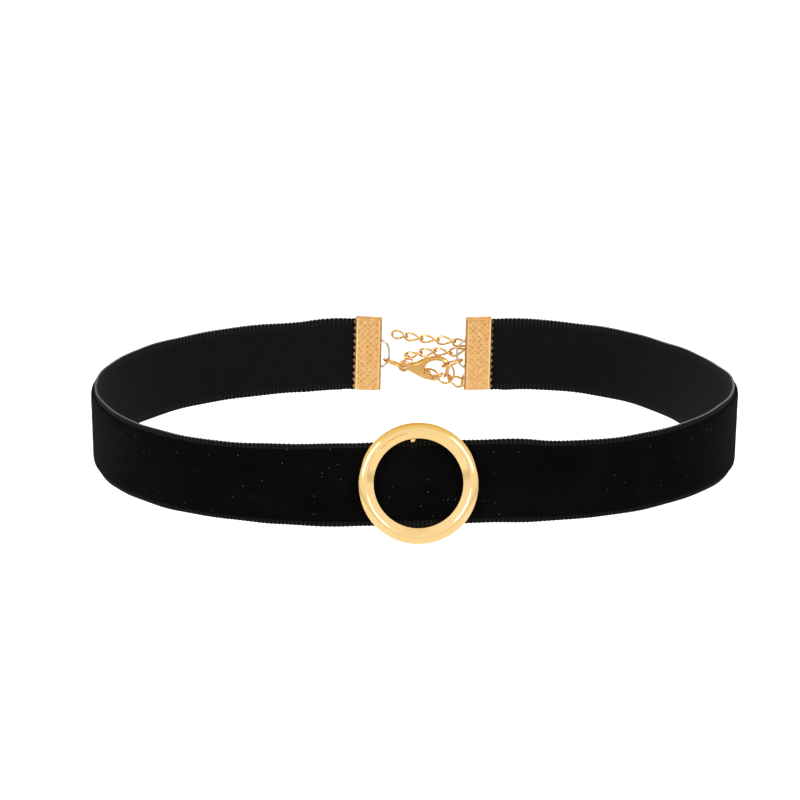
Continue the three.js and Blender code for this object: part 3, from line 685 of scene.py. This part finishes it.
# ---------- folded ends ----------
def crimp(name, node, e, seed):
    g = np.random.default_rng(seed)
    half, plate, r, hz = 0.92, 0.64, 0.45, 7.75
    teeth, per = 11, 14
    rows = teeth * per + 1
    z = np.linspace(-hz, hz, rows)
    phase = (np.arange(rows) % per) / per
    tip = CRIMP_LENGTH - 0.62 * np.abs(2 * phase - 1) ** 0.85
    fx = np.linspace(r, 5.1, 50)
    tx = np.array([0.12, 0.3, 0.5, 0.7, 0.86, 1.0])
    pits = []
    for j in range(-6, 7):
        for i in range(-1, 7):
            pits.append((0.9 + 0.62 * i + g.normal(0, 0.06), 1.28 * (j + 0.5 * (i % 2)) + g.normal(0, 0.07), g.uniform(0.5, 1.15)))

    def dent(x, zz, sign):
        d = np.zeros_like(x)
        for px, pz, k in pits:
            d += 0.11 * k * np.exp(-(((x - px - 0.1 * sign) / 0.21) ** 2 + ((zz - pz - 0.15 * sign) / 0.25) ** 2))
        return d * smooth(0.55, 0.9, x) * (1 - smooth(4.7, 4.95, x))

    def bend(x):
        return 0.45 * np.clip((x - 5.2) / 0.7, 0, 1) ** 0.8 - 0.08 * np.exp(-(((x - 5.0) / 0.16) ** 2))

    sections = []
    for k in range(rows):
        x_teeth = 5.1 + (tip[k] - 5.1) * tx
        xs = np.concatenate([fx, x_teeth])
        shrink = 0.05 if k in (0, rows - 1) else 0.0
        outer = half - bend(xs) - shrink - 0.012 * np.sin(xs * 1.9 + z[k] * 0.8 + seed)
        dz = np.full_like(xs, z[k])
        top = outer - dent(xs, dz, 1)
        low = outer - dent(xs, dz, -1)
        arc = np.linspace(90, 180, 6)[1:-1] * DEG
        sec = [(x, y) for x, y in zip(xs[::-1], top[::-1])]
        sec += [(r + (r - shrink) * math.cos(t), half - r + (r - shrink) * math.sin(t)) for t in arc]
        sec += [(shrink, half - r), (shrink, 0.0), (shrink, -half + r)]
        sec += [(r + (r - shrink) * math.cos(t), -half + r - (r - shrink) * math.sin(t)) for t in arc[::-1]]
        sec += [(x, -y) for x, y in zip(xs, low)]
        inner = np.concatenate([[tip[k] - 0.05], x_teeth[::-1][1:], [4.2, 3.0, 1.8, 0.7]])
        wall = np.maximum(half - plate - np.maximum(bend(inner), 0) * 0.5, 0.27) if z[k] < 7.6 else np.full(len(inner), 0.03)
        sec += [(x, -w) for x, w in zip(inner, wall)]
        sec += [(0.42, -half + plate + 0.12), (0.38, 0.0), (0.42, half - plate - 0.12)]
        sec += [(x, w) for x, w in zip(inner[::-1], wall[::-1])]
        sections.append([(x, y, z[k]) for x, y in sec])
    sections = np.array(sections)
    p = Parts()
    p.add(sections.reshape(-1, 3), loft_faces(rows, sections.shape[1]))
    # the stamped loop
    th = np.linspace(-93, 93, 49) * DEG
    path = np.stack([-1.66 * np.cos(th) + 0.06, 0 * th, 2.86 * np.sin(th)], 1)
    lv, lf = tube(path, lambda t: rounded_rect(0.66, 0.52, 0.2, 3), up=np.stack([-np.cos(th) * 2.86, 0 * th, np.sin(th) * 1.66], 1))
    start = p.n
    p.add(lv, lf)
    ob_v = np.concatenate(p.v)
    y = e["out"].copy()
    if np.cross(e["along"], y).dot(e["up"]) < 0:
        y = -y
    ob_v = in_frame(ob_v, e["origin"] + 0.22 * e["up"], e["along"], y, e["up"])
    loop_faces = len(lf)
    flat = np.concatenate(p.v)
    fmats = []
    for i, f in enumerate(p.f):
        if i >= len(p.f) - loop_faces:
            # the stamped loop takes the pale gold, a painted highlight
            fmats.append(1)
            continue
        x, y_at = flat[list(f), 0].mean(), abs(flat[list(f), 1].mean())
        on_face = y_at > 0.4 and len(f) == 4
        # painted highlight: narrow strips along the bend and the fold get the lighter polished gold
        # painted shade: the bent teeth and the fold's outer edge get the dark brown gold
        fmats.append(2 if on_face and (4.93 < x < 5.16 or 0.44 < x < 0.56) else 3 if on_face and (x > 5.18 or x < 0.3) else 0)
    ob = make(name, ob_v, p.f, [stamped, loop_painted_highlight, polished_highlight_line, edge_painted_shade], fmats)
    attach(ob, "root")
    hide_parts(node)
    return ob


crimp_l = crimp("crimp_left_stamped", "crimp_left", END_LEFT, 3)
crimp_r = crimp("crimp_right_stamped", "crimp_right", END_RIGHT, 11)

# ---------- jump rings ----------
for side, centre, slope, pitch, split in (("left", vec(-3.9, 43.2, -1.77), -21.0, -10.0, 70), ("right", vec(8.05, 43.7, -1.9), 18.0, -8.0, 110)):
    ca, sa = math.cos(slope * DEG), math.sin(slope * DEG)
    ex = vec(ca, 0, sa)
    ey = vec(0, 1, 0) * math.cos(pitch * DEG) + vec(-sa, 0, ca) * math.sin(pitch * DEG)
    t = (split + np.linspace(0.9, 359.1, 97)) * DEG
    path = centre + 2.2 * (np.outer(np.cos(t), ex) + np.outer(np.sin(t), ey))
    v, f = tube(path, lambda q: circle(0.27 if side == "left" else 0.25, 14), up=np.cross(ex, ey))
    jr = make(f"jump_ring_{side}_wire", v, f, [cast])
    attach(jr, "root")
    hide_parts("jump_ring_" + side)

# ---------- clasp ----------
CLASP_Y = 43.5
CLASP_OUTLINE = [
    (-1.15, -1.95), (0.0, -2.0), (1.2, -1.5), (2.6, -0.75), (4.3, -0.42), (5.8, -0.5), (7.05, -1.15), (7.55, -2.2), (7.5, -3.3),
    (7.15, -4.3), (6.48, -5.0), (6.25, -4.75), (6.6, -4.1), (6.76, -3.2), (6.76, -2.3), (6.35, -1.7), (5.4, -1.28), (4.3, -1.25),
    (3.4, -1.55), (2.8, -2.1), (2.55, -2.7), (2.7, -3.3), (2.9, -4.4), (2.5, -5.1), (1.8, -4.85), (0.8, -4.35), (-0.3, -3.7), (-1.15, -3.15),
]
clasp_line = catmull(CLASP_OUTLINE, 3, closed=True)
ARM = [(-1.1, -2.3, 0.36), (0.0, -2.28, 0.44), (1.0, -1.98, 0.5), (2.0, -1.5, 0.5), (3.0, -1.1, 0.43), (3.8, -0.9, 0.39), (4.6, -0.84, 0.39),
       (5.4, -0.88, 0.41), (6.1, -1.12, 0.43), (6.7, -1.58, 0.42), (7.05, -2.2, 0.39), (7.13, -2.9, 0.37), (7.05, -3.6, 0.34), (6.85, -4.2, 0.28), (6.5, -4.75, 0.18)]
PIVOT = (2.85, -4.3)
EYE = (-1.92, -2.5)


def clasp_body_field(x, y, z):
    d = sd_polygon(clasp_line, x, z)
    near_pivot = smooth(4.6, 0.6, np.hypot(x - PIVOT[0], z - PIVOT[1]))
    f = plate_field(d, y, 0.62 + 0.2 * near_pivot, 0.36)
    f = smooth_min(f, rod_field(ARM, x, y, z, 0.5), 0.1)
    eye = plate_field(np.hypot(x - EYE[0], z - EYE[1]) - 1.2, y, 0.62, 0.42)
    f = smooth_min(f, eye, 0.25)
    cheek = plate_field(np.hypot(x - PIVOT[0], z - PIVOT[1]) - 0.92, y, 0.85, 0.3)
    f = smooth_min(f, cheek, 0.12)
    f = smooth_max(f, 0.68 - np.hypot(x - EYE[0], z - EYE[1]), 0.12)
    slot = np.maximum(np.maximum(np.abs(y) - 0.36, 1.85 - x), np.maximum(x - 4.85, z + 3.0))
    f = np.maximum(f, -slot)
    pin = np.maximum(np.hypot(x - PIVOT[0], z - PIVOT[1]) - 0.18, np.abs(y) - 0.8)
    return np.minimum(f, pin)


v, f = surface(clasp_body_field, (-3.3, -1.15, -5.5), (7.8, 1.15, -0.1), 0.075)
clasp = make("clasp_body_cast", v + vec(0, CLASP_Y, 0), f, [cast])
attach(clasp, "root")
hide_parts("clasp_body")

LEVER = [(2.85, -4.3, 0.5), (3.6, -4.62, 0.42), (4.4, -4.84, 0.4), (5.2, -4.72, 0.36), (5.7, -4.4, 0.3), (5.88, -4.08, 0.2)]
lever_line = catmull(LEVER, 4)


def lever_field(x, y, z):
    arm = rod_field([tuple(p) for p in lever_line], x, 0 * y, z, 1.0)
    away = np.hypot(x - PIVOT[0], z - PIVOT[1])
    wide = smooth_max(plate_field(arm, y, 0.75, 0.3), 1.35 - away, 0.08)
    thin = plate_field(arm, y, 0.3, 0.06)
    root = plate_field(away - 0.68, y, 0.3, 0.06)
    tab = plate_field(np.hypot(x - 4.35, z + 5.2) - 0.34, y, 0.7, 0.2)
    f = np.minimum(thin, root)
    f = smooth_min(f, smooth_min(wide, tab, 0.12), 0.05)
    return np.maximum(f, 0.38 - away)


v, f = surface(lever_field, (1.9, -1.0, -5.85), (6.5, 1.0, -3.3), 0.06)
lever = make("clasp_lever_cast", v + vec(0, CLASP_Y, 0), f, [cast])
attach(lever, "lever")
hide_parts("clasp_lever")

# ---------- extender chain: twisted curb links ----------
CHAIN_WIRE = 0.26
# where one link hooks the next, mm; face is the way that the link after it faces, turned about the chain, deg
HOOKS = [
    (10.9, 45.7, 0.6, -40), (7.75, 46.0, -0.45, -44), (4.45, 46.1, -0.1, -36), (1.6, 46.1, -0.45, -50), (-1.35, 46.0, -1.15, -40),
    (-0.9, 46.0, -3.0, -40), (1.9, 46.0, -4.2, -40), (4.9, 46.0, -5.55, -45), (7.6, 46.1, -6.15, -40), (10.2, 47.0, -7.3, -40),
    (12.2, 47.7, -5.0, -40), (12.5, 47.7, -2.1, -40), (11.9, 47.1, 0.6, -42), (8.45, 46.0, 2.0, -36), (5.1, 45.8, 2.45, -44),
    (1.75, 45.8, 2.72, -40), (-1.37, 45.8, 3.2, -34), (-4.0, 45.8, 3.72, 0),
]


def curb_link(a, b, roll, twist=46, wide=1.3):
    a, b = np.asarray(a, float), np.asarray(b, float)
    mid = (a + b) / 2
    x = unit(b - a)
    reach = np.linalg.norm(b - a) / 2 + CHAIN_WIRE
    ref = vec(0, -1, 0)
    normal = unit(ref - x * ref.dot(x))
    normal = turn(normal, x, roll * DEG)
    side = np.cross(normal, x)
    t = np.arange(56) / 56 * 2 * np.pi
    lx = reach * np.sign(np.cos(t)) * np.abs(np.cos(t)) ** 0.9
    ly = (wide - CHAIN_WIRE) * np.sin(t)
    ang = twist * DEG * lx / reach
    path = mid + lx[:, None] * x + (ly * np.cos(ang))[:, None] * side + (ly * np.sin(ang))[:, None] * normal
    return tube(path, lambda q: circle(CHAIN_WIRE * (1 + 0.16 * np.cos(2 * np.pi * q) ** 6), 10), closed=True)


chain = Parts()
for p, q in zip(HOOKS[:-1], HOOKS[1:]):
    chain.add(*curb_link(p[:3], q[:3], p[3]))
chain.add(*curb_link((7.55, 45.5, -3.3), (7.75, 46.0, -5.95), 12, 24, 1.05))
chain_ob = chain.object("extender_chain_links", [wire_gold])
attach(chain_ob, "root")
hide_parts("extender_chain")

# ---------- floor, light and camera ----------
floor_mat = Nodes("floor")
floor_mat.bsdf.inputs["Base Color"].default_value = (0.77, 0.785, 0.81, 1)
floor_mat.bsdf.inputs["Roughness"].default_value = 0.9
floor_mat.bsdf.inputs["Specular IOR Level"].default_value = 0.1
me = bpy.data.meshes.new("floor")
me.from_pydata([(-12, -12, -0.3), (12, -12, -0.3), (12, 12, -0.3), (-12, 12, -0.3)], [], [(0, 1, 2, 3)])
me.materials.append(floor_mat.mat)
floor = bpy.data.objects.new("floor", me)
scene.collection.objects.link(floor)

world = bpy.data.worlds.new("studio")
scene.world = world
world.use_nodes = True
wt = world.node_tree
bg = wt.nodes["Background"]
coord = wt.nodes.new("ShaderNodeTexCoord")
sep = wt.nodes.new("ShaderNodeVectorMath")
sep.operation = "DOT_PRODUCT"
sep.inputs[1].default_value = (0, 0.643, 0.766)
ramp = wt.nodes.new("ShaderNodeValToRGB")
half = wt.nodes.new("ShaderNodeMath")
half.operation = "MULTIPLY_ADD"
half.inputs[1].default_value = 0.5
half.inputs[2].default_value = 0.5
wt.links.new(coord.outputs["Generated"], sep.inputs[0])
wt.links.new(sep.outputs["Value"], half.inputs[0])
wt.links.new(half.outputs[0], ramp.inputs[0])
e = ramp.color_ramp.elements
e[0].position, e[0].color = 0.5, grey(1.0)
e[1].position, e[1].color = 1.0, (0.85, 0.70, 0.32, 1)
for stop, colour in ((0.84, grey(1.0)), (0.93, (0.85, 0.70, 0.32, 1))):
    e.new(stop).color = colour
wt.links.new(ramp.outputs[0], bg.inputs["Color"])
bg.inputs["Strength"].default_value = 1.02


def softbox(name, place, target, size, power):
    light = bpy.data.lights.new(name, "AREA")
    light.shape = "RECTANGLE"
    light.size, light.size_y = size
    light.energy = power
    ob = bpy.data.objects.new(name, light)
    scene.collection.objects.link(ob)
    z = unit(np.asarray(place, float) - np.asarray(target, float))
    x = unit(np.cross(vec(0, 0, 1), z))
    y = np.cross(z, x)
    from mathutils import Matrix
    ob.matrix_world = Matrix([(x[0], y[0], z[0], place[0]), (x[1], y[1], z[1], place[1]), (x[2], y[2], z[2], place[2]), (0, 0, 0, 1)])
    return ob


softbox("softbox_left", (-1.0, -0.8, 0.75), (0, 0, 0), (0.35, 0.8), 7)
softbox("softbox_right", (1.05, -0.75, 0.8), (0, 0, 0), (0.35, 0.8), 7)
fill = softbox("softbox_floor", (0.0, 1.45, 1.4), (0, 1.44, 0), (3.6, 1.6), 24)
fill.data.spread = 72 * DEG
fill.data.color = (0.87, 0.93, 1.0)
fill.visible_glossy = False

scene.view_settings.view_transform = "Standard"
scene.view_settings.look = "None"

cam_data = bpy.data.cameras.new("camera")
cam_data.sensor_width = 36
cam_data.lens = 36 * 5070 / 800
cam_data.clip_start, cam_data.clip_end = 0.05, 50
cam = bpy.data.objects.new("camera", cam_data)
cam.location = (-0.00266, -0.95318, 0.29494)
cam.rotation_euler = (73 * DEG, 0, 0)
scene.collection.objects.link(cam)
scene.camera = cam

bpy.context.view_layer.update()
